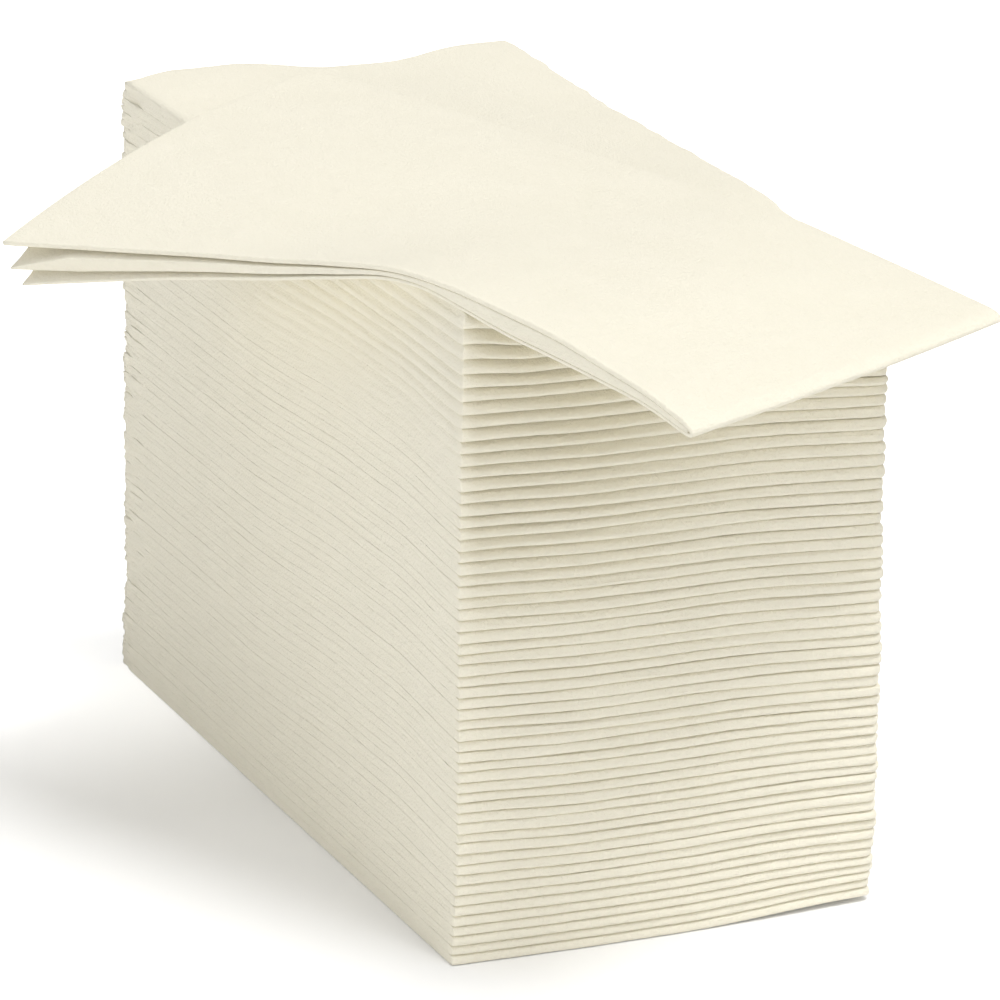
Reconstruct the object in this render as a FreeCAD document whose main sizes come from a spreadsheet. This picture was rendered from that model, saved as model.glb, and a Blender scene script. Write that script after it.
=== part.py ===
import FreeCAD, Part
import math
import os

import Sketcher
from FreeCAD import Placement, Rotation, Vector

# Stack of paper napkins, millimetres.
# +Z is up. The origin is the middle of the stack's underside. The half folds (spines) of the
# stacked napkins face -Y, their open ends face +Y, their long folded edges face -X and +X.

# Driving dimensions
SIZES = {
    # A napkin of the stack: a sheet folded in three and then in half
    "napkin_width": 102.0,
    "napkin_length": 213.0,
    "pressed_thickness": 2.165,  # the lowest napkin, under the weight of the others
    "settle": 0.62,             # added evenly from the lowest napkin to the highest
    "loft": 0.95,               # added to the highest napkin, which nothing presses
    "loft_fade": 6.0,           # napkins over which the loft dies away downward
    "ripple": 0.1,              # unevenness of the thickness from napkin to napkin
    "rest_gap": 0.05,           # clear height between a napkin and the next
    "upper_round_share": 0.62,  # share of the spine's height that is rounded from above
    "fold_depth": 1.5,          # from the spine's tip to where the two leaves part
    "mouth": 0.45,              # the leaves' parting at the open end
    "leaf_step": 0.6,           # the upper leaf is this much shorter than the lower
    "edge_break": 0.32,         # rounding off of the long folded edges
    # How evenly the napkins are stacked
    "stray_x": 0.45,
    "stray_y": 0.5,
    "stray_turn": 0.22,         # degrees
    # The top napkins give way at the corner over which the crossing napkin bends down
    "corner_sag": 5.0,
    "sag_reach": 62.0,
    # The crossing napkin on top
    "cross_width": 102.0,
    "cross_length": 213.0,
    "cross_turn": 23.1,         # degrees from the stack's own direction
    "cross_spine_x": 20.8,      # middle of its spine, from the stack's middle
    "cross_overhang": 40.3,     # middle of its spine, beyond the stack's spine end
    "cross_leaf": 1.38,
    "cross_gap": 0.16,
    "cross_part_reach": 25.0,   # the leaves' parting dies away this far in from the near edge
    "cross_edge": 45.0,         # from its spine to where it passes the stack's edge
    "cross_ridge": 85.0,        # to where its near edge is highest
    "cross_shoulder": 150.0,    # to where its middle is highest
    "cross_split": 156.0,       # to where the lower leaf starts to part in two
    "cross_step_middle": 3.0,   # the middle leaf ends this far short of the upper
    "cross_step_lower": 7.0,
}

COUNT = 57        # napkins in the stack
SAGGING = 3       # of these, the top ones that give way at the corner

# Heights of the crossing napkin's upper face over the stack's top at its spine, edge, ridge,
# shoulder and open end, for its near long edge, its middle and its far long edge
CROSS_NEAR = (-12.9, 1.6, 5.9, -3.7, -14.1)
CROSS_MIDDLE = (-11.3, 1.3, 4.4, 6.2, 2.0)
CROSS_FAR = (-8.6, 2.5, 4.3, 6.6, 9.0)
CROSS_SECTIONS = (0.0, 0.35, 0.7, 1.0)
# How far its leaves part at the same stations of the near long edge
CROSS_PART_UPPER = (0.2, 2.9, 0.5, 1.7, 4.3)
CROSS_PART_LOWER = (0.0, 0.0, 0.15, 1.3, 3.3)

ROUND = 0.5523         # a cubic curve's handle that makes a quarter turn of its arms

doc = FreeCAD.newDocument("napkin_stack")
sheet = doc.addObject("Spreadsheet::Sheet", "Sizes")
for row, (alias, value) in enumerate(SIZES.items(), start=1):
    sheet.set("A%d" % row, alias)
    sheet.set("B%d" % row, str(value))
    sheet.setAlias("B%d" % row, alias)
doc.recompute()


def size(alias):
    """The value of a driving dimension, read from the sheet."""
    return float(getattr(sheet, alias))


# Each napkin's own thickness and stray, as formulas over the driving dimensions
def unevenness(number):
    """How much thicker or thinner than its neighbours a napkin is, about -1 to 1."""
    return 0.6 * math.sin(2.4 * number) + 0.4 * math.sin(5.3 * number + 1.0)


def stray(number):
    """How far a napkin lies off the stack's lines, from -1 to 1: across, along and turned."""
    across = math.sin(1.7 * number + 0.4)
    along = math.sin(2.9 * number + 1.3)
    turn = math.sin(4.1 * number + 2.2)
    return across, along, turn


def thickness(number):
    """Thickness of a stacked napkin in millimetres."""
    share = (number - 1) / (COUNT - 1)
    loft = size("loft") * math.exp(-(COUNT - number) / size("loft_fade"))
    settled = size("pressed_thickness") + size("settle") * share
    return settled + loft + size("ripple") * unevenness(number)


def thickness_formula(number):
    """The same thickness as an expression over the sheet."""
    share = (number - 1) / (COUNT - 1)
    terms = (
        "Sizes.pressed_thickness",
        "Sizes.settle * %.8f" % share,
        "Sizes.loft * exp(-%d / Sizes.loft_fade)" % (COUNT - number),
        "Sizes.ripple * (%.8f)" % unevenness(number),
    )
    return " + ".join(terms)


def underside(number):
    """Height of a stacked napkin's underside; one past the last gives the stack's top."""
    return sum(thickness(below) + size("rest_gap") for below in range(1, number))


# A stacked napkin that lies flat: its section, padded across the width, its long edges broken
def origin_plane(body, role):
    """The plane of the body's own origin that has this role."""
    return next(item for item in body.Origin.OriginFeatures if item.Role == role)


def draw_section(body, number):
    """Sketch a folded napkin's section: bottom, spine of two radii, top, and the leaves' parting."""
    length = size("napkin_length")
    short = length - size("leaf_step")
    thick = thickness(number)
    upper = size("upper_round_share") * thick
    lower = thick - upper
    middle = thick / 2
    half_mouth = size("mouth") / 2
    low_end = Vector(length, 0, 0)
    low_tangent = Vector(lower, 0, 0)
    high_tangent = Vector(upper, thick, 0)
    high_end = Vector(short, thick, 0)
    mouth_high = Vector(short, middle + half_mouth, 0)
    parting = Vector(size("fold_depth"), middle, 0)
    mouth_low = Vector(length, middle - half_mouth, 0)
    up = Vector(0, 0, 1)
    low_circle = Part.Circle(Vector(lower, lower, 0), up, lower)
    high_circle = Part.Circle(Vector(upper, lower, 0), up, upper)

    sketch = body.newObject("Sketcher::SketchObject", "section_%02d" % number)
    sketch.AttachmentSupport = [(origin_plane(body, "YZ_Plane"), "")]
    sketch.MapMode = "FlatFace"
    sketch.setExpression("AttachmentOffset.Base.x", "-Sizes.napkin_length / 2")
    sketch.setExpression("AttachmentOffset.Base.z", "-Sizes.napkin_width / 2")
    bottom, low_arc, high_arc, top, high_cut, high_leaf, low_leaf, low_cut = range(8)
    start, end, centre = 1, 2, 3
    root_axis, rise_axis = -1, -2
    sketch.addGeometry([
        Part.LineSegment(low_end, low_tangent),
        Part.ArcOfCircle(low_circle, math.pi, 1.5 * math.pi),
        Part.ArcOfCircle(high_circle, 0.5 * math.pi, math.pi),
        Part.LineSegment(high_tangent, high_end),
        Part.LineSegment(high_end, mouth_high),
        Part.LineSegment(mouth_high, parting),
        Part.LineSegment(parting, mouth_low),
        Part.LineSegment(mouth_low, low_end),
    ], False)
    relations = (
        ("Tangent", bottom, end, low_arc, end),
        ("Tangent", low_arc, start, high_arc, end),
        ("Tangent", high_arc, start, top, start),
        ("Coincident", top, end, high_cut, start),
        ("Coincident", high_cut, end, high_leaf, start),
        ("Coincident", high_leaf, end, low_leaf, start),
        ("Coincident", low_leaf, end, low_cut, start),
        ("Coincident", low_cut, end, bottom, start),
        ("Horizontal", bottom),
        ("Horizontal", top),
        ("Vertical", high_cut),
        ("Vertical", low_cut),
        ("PointOnObject", bottom, start, root_axis),
        ("PointOnObject", low_arc, start, rise_axis),
        ("Horizontal", low_arc, centre, high_arc, centre),
    )
    for relation in relations:
        sketch.addConstraint(Sketcher.Constraint(*relation))
    dimensions = (
        ("length", "DistanceX", (root_axis, 1, bottom, start), length, "Sizes.napkin_length"),
        ("short", "DistanceX", (root_axis, 1, top, end), short,
         "Sizes.napkin_length - Sizes.leaf_step"),
        ("thick", "DistanceY", (root_axis, 1, top, end), thick, thickness_formula(number)),
        ("upper_round", "Radius", (high_arc,), upper, "Sizes.upper_round_share * .Constraints.thick"),
        ("fold_depth", "DistanceX", (root_axis, 1, high_leaf, end), size("fold_depth"),
         "Sizes.fold_depth"),
        ("fold_height", "DistanceY", (root_axis, 1, high_leaf, end), middle,
         ".Constraints.thick / 2"),
        ("low_leaf", "DistanceY", (root_axis, 1, low_leaf, end), middle - half_mouth,
         ".Constraints.thick / 2 - Sizes.mouth * 1 mm / 2"),
        ("mouth", "DistanceY", (low_leaf, end, high_cut, end), 2 * half_mouth, "Sizes.mouth"),
    )
    for name, kind, where, value, formula in dimensions:
        index = sketch.addConstraint(Sketcher.Constraint(kind, *where, value))
        sketch.renameConstraint(index, name)
        sketch.setExpression("Constraints." + name, formula)
    return sketch


def draw_edge_trim(body, number):
    """Sketch what the folded long edges lose: a frame round an outline with broken corners."""
    half = size("napkin_width") / 2
    thick = thickness(number)
    cut = size("edge_break")
    margin = 1.0
    outline = (
        (-half, 0.0), (half, 0.0), (half, thick - cut),
        (half - cut, thick), (cut - half, thick), (-half, thick - cut),
    )
    frame = (
        (-half - margin, -margin), (half + margin, -margin),
        (half + margin, thick + margin), (-half - margin, thick + margin),
    )
    sketch = body.newObject("Sketcher::SketchObject", "trim_%02d" % number)
    sketch.AttachmentSupport = [(origin_plane(body, "XZ_Plane"), "")]
    sketch.MapMode = "FlatFace"
    for loop in (outline, frame):
        first = sketch.GeometryCount
        points = [Vector(x, z, 0) for x, z in loop]
        turns = points[1:] + points[:1]
        sketch.addGeometry([Part.LineSegment(a, b) for a, b in zip(points, turns)], False)
        for step in range(len(loop)):
            after = first + (step + 1) % len(loop)
            sketch.addConstraint(Sketcher.Constraint("Coincident", first + step, 2, after, 1))
    for line in (0, 3, 6, 8):
        sketch.addConstraint(Sketcher.Constraint("Horizontal", line))
    for line in (1, 5, 7, 9):
        sketch.addConstraint(Sketcher.Constraint("Vertical", line))
    margin_formula = "1 mm"
    half_formula = "Sizes.napkin_width * 1 mm / 2"
    cut_formula = "Sizes.edge_break * 1 mm"
    thick_formula = "section_%02d.Constraints.thick" % number
    dimensions = (
        ("left", "DistanceX", 0, 1, -half, "-" + half_formula),
        ("low", "DistanceY", 0, 1, 0.0, None),
        ("right", "DistanceX", 0, 2, half, half_formula),
        ("right_high", "DistanceY", 1, 2, thick - cut, thick_formula + " - " + cut_formula),
        ("high_right", "DistanceX", 3, 1, half - cut, half_formula + " - " + cut_formula),
        ("high", "DistanceY", 3, 1, thick, thick_formula),
        ("high_left", "DistanceX", 3, 2, cut - half, cut_formula + " - " + half_formula),
        ("left_high", "DistanceY", 5, 1, thick - cut, thick_formula + " - " + cut_formula),
        ("frame_left", "DistanceX", 6, 1, -half - margin, "-" + half_formula + " - " + margin_formula),
        ("frame_low", "DistanceY", 6, 1, -margin, "-" + margin_formula),
        ("frame_right", "DistanceX", 6, 2, half + margin, half_formula + " + " + margin_formula),
        ("frame_high", "DistanceY", 8, 1, thick + margin, thick_formula + " + " + margin_formula),
    )
    for name, kind, line, end, value, formula in dimensions:
        index = sketch.addConstraint(Sketcher.Constraint(kind, -1, 1, line, end, value))
        sketch.renameConstraint(index, name)
        if formula is not None:
            sketch.setExpression("Constraints." + name, formula)
    return sketch


def flat_napkin(number, below):
    """Build one of the stack's lower napkins as a body that rests on the one below it."""
    body = doc.addObject("PartDesign::Body", "napkin_%02d" % number)
    body.Label = "napkin_%02d" % number
    sketch = draw_section(body, number)
    pad = body.newObject("PartDesign::Pad", "pad_%02d" % number)
    pad.Profile = sketch
    pad.setExpression("Length", "Sizes.napkin_width")
    pad.Refine = False
    edges = body.newObject("PartDesign::Pocket", "edges_%02d" % number)
    edges.Profile = draw_edge_trim(body, number)
    edges.Type = "ThroughAll"
    edges.Midplane = True
    edges.Refine = True
    body.Tip = edges
    across, along, turn = stray(number)
    body.Placement = Placement(Vector(0, 0, 0), Rotation(Vector(0, 0, 1), 1))
    body.setExpression("Placement.Base.x", "Sizes.stray_x * (%.8f)" % across)
    body.setExpression("Placement.Base.y", "Sizes.stray_y * (%.8f)" % along)
    body.setExpression("Placement.Rotation.Angle", "Sizes.stray_turn * (%.8f)" % turn)
    if below is not None:
        rise = "%s.Placement.Base.z + section_%02d.Constraints.thick + Sizes.rest_gap * 1 mm"
        body.setExpression("Placement.Base.z", rise % (below.Name, number - 1))
    return body


# Curves and faces of the napkins that bend
def bend(points):
    """A Bezier edge over its control points."""
    curve = Part.BezierCurve()
    curve.setPoles(points)
    return curve.toShape()


def spine_edges(high, low, tip, slope):
    """Two quarter turns round a spine: from the top's end to the tip and on to the bottom's."""
    level = Vector(0, -1, -slope)
    rise = Vector(0, 0, 1)
    over = (high.y - tip.y) * ROUND
    under = (low.y - tip.y) * ROUND
    high_arc = bend([
        high,
        high + level * over,
        tip + rise * ((high.z - tip.z) * ROUND),
        tip,
    ])
    low_arc = bend([
        tip,
        tip - rise * ((tip.z - low.z) * ROUND),
        low + level * under,
        low,
    ])
    return high_arc, low_arc


# A napkin near the top: its section changes across the width, as it gives way at one corner
def sag(level, across, y):
    """How far the face under napkin number level + 1 drops at a point, y from the spine line."""
    depth = size("corner_sag") * max(0, level - (COUNT - SAGGING)) / SAGGING
    reach = size("sag_reach")
    along = max(0.0, (reach - y) / reach)
    return depth * across * along ** 2


def sagging_section(number, x):
    """Closed section of a sagging napkin at x."""
    width, length, reach = size("napkin_width"), size("napkin_length"), size("sag_reach")
    across_share = (x + width / 2) / width
    across, along, _ = stray(number)
    thick = thickness(number)
    floor = underside(number)
    upper = size("upper_round_share") * thick
    tip_y = size("stray_y") * along
    high_y, low_y = tip_y + upper, tip_y + thick - upper
    open_y = tip_y + length
    short_y = open_y - size("leaf_step")
    depth_y = tip_y + size("fold_depth")
    half_mouth = size("mouth") / 2
    shift = size("stray_x") * across

    def low_z(y):
        return floor - sag(number - 1, across_share, y)

    def high_z(y):
        return floor + thick - sag(number, across_share, y)

    def middle_z(y):
        return (low_z(y) + high_z(y)) / 2

    def at(y, z):
        return Vector(x + shift, y - length / 2, z)

    def slope(height, y):
        return (height(y + 0.01) - height(y - 0.01)) / 0.02

    def sloped(height, y):
        """From the flat part to y: the middle control point is where the end tangents meet."""
        half_way = (reach + y) / 2
        return [at(reach, height(reach)), at(half_way, height(reach)), at(y, height(y))]

    tip = at(tip_y, low_z(tip_y) + (high_z(tip_y) - low_z(tip_y)) * (1 - upper / thick))
    low_flat = [at(open_y, low_z(open_y)), at(reach, low_z(reach))]
    low_bend = sloped(low_z, low_y)
    high_bend = sloped(high_z, high_y)
    high_flat = [at(reach, high_z(reach)), at(short_y, high_z(short_y))]
    high_arc, low_arc = spine_edges(high_bend[-1], low_bend[-1], tip, slope(middle_z, low_y))
    mouth_high = at(short_y, middle_z(short_y) + half_mouth)
    mouth_low = at(open_y, middle_z(open_y) - half_mouth)
    opening = half_mouth * (reach - depth_y) / (open_y - depth_y)
    fold = at(depth_y, middle_z(depth_y))
    knee_high = at(reach, middle_z(reach) + opening)
    knee_low = at(reach, middle_z(reach) - opening)
    knee_turn = at((reach + depth_y) / 2, middle_z(reach))
    return Part.Wire([
        bend(low_flat),
        bend(low_bend),
        low_arc,
        high_arc,
        bend(list(reversed(high_bend))),
        bend(high_flat),
        bend([high_flat[-1], mouth_high]),
        bend([mouth_high, knee_high]),
        bend([knee_high, knee_turn + Vector(0, 0, opening / 2), fold]),
        bend([fold, knee_turn - Vector(0, 0, opening / 2), knee_low]),
        bend([knee_low, mouth_low]),
        bend([mouth_low, low_flat[0]]),
    ])


def sagging_napkin(number):
    """Build one of the top napkins from its sections at both long edges."""
    half = size("napkin_width") / 2
    sections = [sagging_section(number, x) for x in (-half, half)]
    napkin = doc.addObject("Part::Feature", "napkin_%02d" % number)
    napkin.Label = "napkin_%02d" % number
    napkin.Shape = Part.makeLoft(sections, True, True)
    napkin.Placement = Placement()
    return napkin


# The crossing napkin: hairpin sections along its length, each a little different across it
def parabola(near, middle, far, share):
    """Value at a share of the way across, through three values."""
    first = near + (middle - near) * 2 * share
    second = middle + (far - middle) * (2 * share - 1)
    return first + (second - first) * share


def stations():
    """Distances from the crossing napkin's spine at which its heights are given."""
    return [0.0, size("cross_edge"), size("cross_ridge"), size("cross_shoulder"), size("cross_length")]


def crossing_heights(share):
    """Heights of the upper face over the stack's top at every station of one section."""
    columns = zip(CROSS_NEAR, CROSS_MIDDLE, CROSS_FAR)
    return [parabola(near, middle, far, share) for near, middle, far in columns]


def leaf_gaps(share):
    """Clear heights under the upper and the middle leaf at every station of one section."""
    near = math.exp(-(share * size("cross_width") / size("cross_part_reach")) ** 2)
    below_upper = [size("cross_gap") + near * part for part in CROSS_PART_UPPER]
    below_middle = [size("cross_gap") / 2 + near * part for part in CROSS_PART_LOWER]
    return below_upper, below_middle


def crossing_section(share, place):
    """Closed section at a share of the way across, standing at place."""
    length, leaf = size("cross_length"), size("cross_leaf")
    places = stations()
    below_upper, below_middle = leaf_gaps(share)
    heights = crossing_heights(share)
    upper_low = [z - leaf for z in heights]
    middle_top = [z - gap for z, gap in zip(upper_low, below_upper)]
    middle_low = [z - leaf / 2 for z in middle_top]
    lower_top = [z - gap for z, gap in zip(middle_low, below_middle)]
    bottom = [z - leaf / 2 for z in lower_top]
    thick = heights[0] - bottom[0]
    fold = leaf + size("cross_gap")
    split = size("cross_split")
    middle_end = length - size("cross_step_middle")
    lower_end = length - size("cross_step_lower")

    def face(levels, start, stop):
        """One face's line in this section, between two stations."""
        curve = Part.BSplineCurve()
        points = [Vector(place, v, z) for v, z in zip(places, levels)]
        curve.interpolate(Points=points, Parameters=places)
        curve.segment(start, stop)
        return curve

    top = face(heights, thick * 0.6, length)
    upper_leaf_low = face(upper_low, fold, length)
    middle_leaf_top = face(middle_top, fold, middle_end)
    middle_leaf_low = face(middle_low, split, middle_end)
    lower_leaf_top = face(lower_top, split, lower_end)
    lower_leaf_low = face(bottom, thick * 0.4, lower_end)
    high, low = top.StartPoint, lower_leaf_low.StartPoint
    fall = (heights[1] - heights[0]) / (places[1] - places[0])
    tip = Vector(place, 0, low.z + (high.z - low.z) * 0.42 - fall * low.y)
    high_arc, low_arc = spine_edges(high, low, tip, fall)

    def line(begin, end):
        return Part.LineSegment(begin, end).toShape()

    edges = [
        top.toShape(),
        line(top.EndPoint, upper_leaf_low.EndPoint),
        upper_leaf_low.toShape(),
        line(upper_leaf_low.StartPoint, middle_leaf_top.StartPoint),
        middle_leaf_top.toShape(),
        line(middle_leaf_top.EndPoint, middle_leaf_low.EndPoint),
        middle_leaf_low.toShape(),
        line(middle_leaf_low.StartPoint, lower_leaf_top.StartPoint),
        lower_leaf_top.toShape(),
        line(lower_leaf_top.EndPoint, lower_leaf_low.EndPoint),
        lower_leaf_low.toShape(),
        low_arc,
        high_arc,
    ]
    return Part.Wire(Part.__sortEdges__(edges))


def crossing_napkin():
    """Build the napkin that lies across the stack and hangs over its edges."""
    width = size("cross_width")
    sections = [crossing_section(share, width * share) for share in CROSS_SECTIONS]
    napkin = doc.addObject("Part::Feature", "top_napkin")
    napkin.Label = "top_napkin"
    napkin.Shape = Part.makeLoft(sections, True, True)
    turn = Rotation(Vector(0, 0, 1), size("cross_turn"))
    to_middle = turn.multVec(Vector(width / 2, 0, 0))
    spine_y = -size("napkin_length") / 2 - size("cross_overhang")
    spine = Vector(size("cross_spine_x"), spine_y, underside(COUNT + 1))
    napkin.Placement = Placement(spine - to_middle, turn)
    return napkin


napkins = []
previous = None
for number in range(1, COUNT + 1):
    if number <= COUNT - SAGGING:
        previous = flat_napkin(number, previous)
    else:
        previous = sagging_napkin(number)
    napkins.append(previous)
napkins.append(crossing_napkin())
doc.recompute()

for item in doc.Objects:
    if "Invalid" in item.State or "Error" in item.State:
        raise RuntimeError("%s did not build" % item.Name)
for napkin in napkins:
    if napkin.Shape.isNull() or not napkin.Shape.isValid() or len(napkin.Shape.Solids) != 1:
        raise RuntimeError("%s is not one sound solid" % napkin.Label)

os.makedirs("parts", exist_ok=True)
for napkin in napkins:
    napkin.Shape.exportStep("parts/%s.step" % napkin.Label)
print("stack height %.2f, napkins %d" % (underside(COUNT + 1), len(napkins)))
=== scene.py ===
import logging
import math
from dataclasses import dataclass, field, replace
from enum import Enum

import bpy
import numpy as np
from mathutils import Matrix, Vector


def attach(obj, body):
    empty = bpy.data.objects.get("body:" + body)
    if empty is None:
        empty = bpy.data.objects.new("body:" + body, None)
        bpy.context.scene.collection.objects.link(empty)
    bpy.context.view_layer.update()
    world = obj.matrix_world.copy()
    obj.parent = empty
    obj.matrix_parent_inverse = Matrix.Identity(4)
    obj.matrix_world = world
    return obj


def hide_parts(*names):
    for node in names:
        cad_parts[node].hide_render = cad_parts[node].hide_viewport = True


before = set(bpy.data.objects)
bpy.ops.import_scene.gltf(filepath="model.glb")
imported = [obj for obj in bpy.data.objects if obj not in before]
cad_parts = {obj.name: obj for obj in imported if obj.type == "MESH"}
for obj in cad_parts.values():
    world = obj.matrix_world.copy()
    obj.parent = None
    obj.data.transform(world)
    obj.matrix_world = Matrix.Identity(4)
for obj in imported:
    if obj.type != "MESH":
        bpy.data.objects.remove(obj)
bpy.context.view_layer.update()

MM = 0.001
Zone = tuple[float, float]
Stations = tuple[tuple[float, float], ...]
LOG = logging.getLogger("napkin_stack")


# Node trees
class Value:
    """A number inside a node tree. Arithmetic on it adds the Math nodes that work it out."""

    def __init__(self, tree: bpy.types.NodeTree, socket: bpy.types.NodeSocket) -> None:
        """Keep the tree and the socket that the number comes from."""
        self.tree = tree
        self.socket = socket

    def combine(self, operation: str, *others: "Value | float") -> "Value":
        """Put the number through one Math node.

        Args:
            operation: the Math node's operation.
            others: the node's other inputs, as Values or plain numbers.

        Returns:
            The node's result.
        """
        node = self.tree.nodes.new("ShaderNodeMath")
        node.operation = operation
        for place, other in enumerate((self, *others)):
            if isinstance(other, Value):
                self.tree.links.new(other.socket, node.inputs[place])
            else:
                node.inputs[place].default_value = other
        return Value(self.tree, node.outputs[0])

    def __add__(self, other: "Value | float") -> "Value":
        """The sum."""
        return self.combine("ADD", other)

    def __sub__(self, other: "Value | float") -> "Value":
        """The difference."""
        return self.combine("SUBTRACT", other)

    def __mul__(self, other: "Value | float") -> "Value":
        """The product."""
        return self.combine("MULTIPLY", other)

    def sine(self) -> "Value":
        """The sine of the number in radians."""
        return self.combine("SINE")

    def rest(self) -> "Value":
        """What the number leaves of 1."""
        return self * -1.0 + 1.0

    def eased(self, low: float, high: float) -> "Value":
        """Make a smooth step of the number.

        Args:
            low: where the step is still 0.
            high: where it has come to 1.

        Returns:
            The step, between 0 and 1.
        """
        node = self.tree.nodes.new("ShaderNodeMapRange")
        node.interpolation_type = "SMOOTHSTEP"
        self.tree.links.new(self.socket, node.inputs["Value"])
        node.inputs["From Min"].default_value = low
        node.inputs["From Max"].default_value = high
        return Value(self.tree, node.outputs["Result"])

    def rises(self, low: float, high: float) -> "Value":
        """A smooth step from 0 to 1 between two places in millimetres."""
        return self.eased(low * MM, high * MM)

    def fades(self, low: float, high: float) -> "Value":
        """A smooth step from 1 to 0 between two places in millimetres."""
        return self.rises(low, high).rest()


@dataclass
class Graph:
    """Adds nodes to one tree."""

    tree: bpy.types.NodeTree

    def node(self, kind: str, **settings: object) -> bpy.types.Node:
        """Add a node and set its own properties.

        Args:
            kind: the node's type.
            settings: its properties and their values.

        Returns:
            The node.
        """
        made = self.tree.nodes.new(kind)
        for name, value in settings.items():
            setattr(made, name, value)
        return made

    def link(self, start: bpy.types.NodeSocket, end: bpy.types.NodeSocket) -> None:
        """Join two sockets."""
        self.tree.links.new(start, end)

    def value(self, socket: bpy.types.NodeSocket) -> Value:
        """The socket's number, ready for arithmetic."""
        return Value(self.tree, socket)

    def parts(self, vector: bpy.types.NodeSocket) -> list[Value]:
        """Take a vector apart.

        Args:
            vector: the vector's socket.

        Returns:
            Its three numbers.
        """
        split = self.node("ShaderNodeSeparateXYZ")
        self.link(vector, split.inputs[0])
        return [self.value(split.outputs[axis]) for axis in "XYZ"]

    def vector(self, *parts: Value) -> bpy.types.NodeSocket:
        """Make a vector of up to three numbers.

        Args:
            parts: the numbers, from X on.

        Returns:
            The vector's socket.
        """
        joined = self.node("ShaderNodeCombineXYZ")
        for place, part in enumerate(parts):
            self.link(part.socket, joined.inputs[place])
        return joined.outputs[0]

    def noise(
        self,
        coordinates: bpy.types.NodeSocket,
        scale: float,
        detail: float = 2.0,
        roughness: float = 0.5,
        shift: "Value | None" = None,
    ) -> Value:
        """Noise between 0 and 1 over the coordinates.

        Args:
            coordinates: the vector that the noise is read at.
            scale: how many times it changes in a metre, roughly.
            detail: how many finer layers it has.
            roughness: how strong the finer layers are.
            shift: the fourth coordinate, which gives each napkin noise of its own.

        Returns:
            The noise.
        """
        texture = self.node("ShaderNodeTexNoise", noise_dimensions="3D" if shift is None else "4D")
        self.link(coordinates, texture.inputs["Vector"])
        if shift is not None:
            self.link(shift.socket, texture.inputs["W"])
        texture.inputs["Scale"].default_value = scale
        texture.inputs["Detail"].default_value = detail
        texture.inputs["Roughness"].default_value = roughness
        return Value(self.tree, texture.outputs[0])


# Finishes, and the floor's painted light
@dataclass(frozen=True)
class PaperFinish:
    """Soft unprinted paper of short felted fibres, matt, with a faint cloudiness."""

    name: str = "felted_paper"
    colour: tuple[float, float, float] = (0.905, 0.86, 0.72)
    shaded: tuple[float, float, float] = (0.88, 0.835, 0.69)
    cloud_scale: float = 70.0
    fibre_scale: float = 1300.0
    streak_scale: float = 620.0
    streak_stretch: tuple[float, float, float] = (0.12, 0.06, 1.0)
    relief: float = 0.0006
    relief_strength: float = 0.9

    def material(self) -> bpy.types.Material:
        """Build the material.

        Returns:
            A node material that reads Object coordinates, and the attribute "flat" for the
            streaks that run along the sheets.
        """
        made = bpy.data.materials.new(self.name)
        made.use_nodes = True
        graph = Graph(made.node_tree)
        shader = made.node_tree.nodes["Principled BSDF"]
        place = graph.node("ShaderNodeTexCoord").outputs["Object"]
        cloud = graph.noise(place, self.cloud_scale, detail=4.0, roughness=0.6)
        fibre = graph.noise(place, self.fibre_scale, detail=3.0, roughness=0.65)
        flow = graph.node("ShaderNodeAttribute", attribute_name="flat")
        drawn = graph.node("ShaderNodeMapping")
        drawn.inputs["Scale"].default_value = self.streak_stretch
        graph.link(flow.outputs["Vector"], drawn.inputs["Vector"])
        streak = graph.noise(drawn.outputs["Vector"], self.streak_scale, detail=3.0, roughness=0.6)
        tone = graph.node("ShaderNodeMix", data_type="RGBA")
        tone.inputs["A"].default_value = (*self.shaded, 1.0)
        tone.inputs["B"].default_value = (*self.colour, 1.0)
        mix = cloud.eased(0.25, 0.75) * 0.4
        mix = mix + fibre.eased(0.3, 0.7) * 0.3 + streak.eased(0.3, 0.7) * 0.3
        graph.link(mix.socket, tone.inputs["Factor"])
        graph.link(tone.outputs["Result"], shader.inputs["Base Color"])
        bump = graph.node("ShaderNodeBump")
        bump.inputs["Strength"].default_value = self.relief_strength
        bump.inputs["Distance"].default_value = self.relief
        graph.link((fibre * 0.6 + streak * 0.6 + cloud * 0.4).socket, bump.inputs["Height"])
        graph.link(bump.outputs["Normal"], shader.inputs["Normal"])
        shader.inputs["Roughness"].default_value = 0.92
        shader.inputs["Specular IOR Level"].default_value = 0.2
        shader.inputs["Sheen Weight"].default_value = 0.15
        shader.inputs["Sheen Roughness"].default_value = 0.6
        return made


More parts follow.
